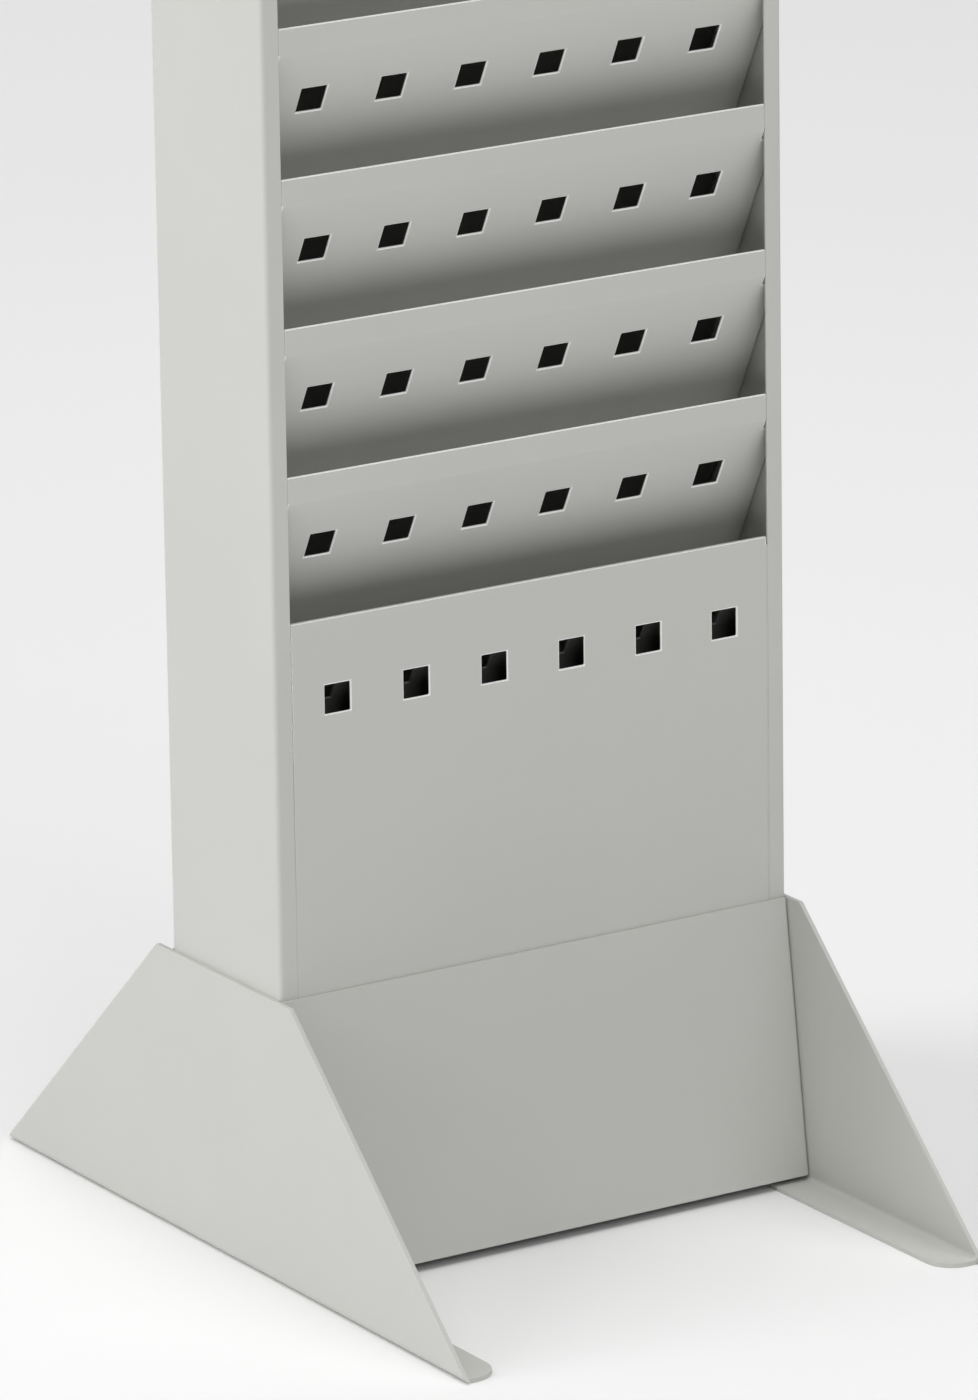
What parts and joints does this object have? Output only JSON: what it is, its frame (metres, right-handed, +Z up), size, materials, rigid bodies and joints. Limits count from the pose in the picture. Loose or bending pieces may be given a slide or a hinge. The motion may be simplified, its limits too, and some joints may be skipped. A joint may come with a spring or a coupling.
{
  "type": "magazine rack",
  "caption": "Free-standing painted sheet-steel magazine rack: a slim column of sloped pockets with square sight holes, on two splayed foot plates with sloped skirts.",
  "frame": {"origin": "on the floor under the middle of the rack, at the centre of the box's underside", "axes": "+Z up; -Y is the open front of the pockets; +X to the rack's right seen from the front"},
  "size_m": [0.263, 0.384, 1.2003],
  "materials": {
    "painted_steel": "satin light warm-grey powder coat with a very fine texture",
    "zinc_steel": "bright zinc plating"
  },
  "bodies": {
    "root": {"left_side_panel": "painted_steel", "right_side_panel": "painted_steel", "left_foot": "painted_steel", "right_foot": "painted_steel", "back_panel": "painted_steel", "top_cap": "painted_steel", "lower_front_panel": "painted_steel", "front_skirt": "painted_steel", "rear_skirt": "painted_steel", "header_panel": "painted_steel", "inner_pocket_panel": "painted_steel", "pocket_panel_01": "painted_steel", "pocket_panel_02": "painted_steel", "pocket_panel_03": "painted_steel", "pocket_panel_04": "painted_steel", "pocket_panel_05": "painted_steel", "pocket_panel_06": "painted_steel", "pocket_panel_07": "painted_steel", "pocket_panel_08": "painted_steel", "pocket_panel_09": "painted_steel", "pocket_panel_10": "painted_steel", "pocket_panel_11": "painted_steel", "pocket_panel_12": "painted_steel", "left_weld_studs": "zinc_steel", "right_weld_studs": "zinc_steel", "left_washers": "zinc_steel", "right_washers": "zinc_steel", "left_nuts": "zinc_steel", "right_nuts": "zinc_steel"}
  },
  "joints": []
}
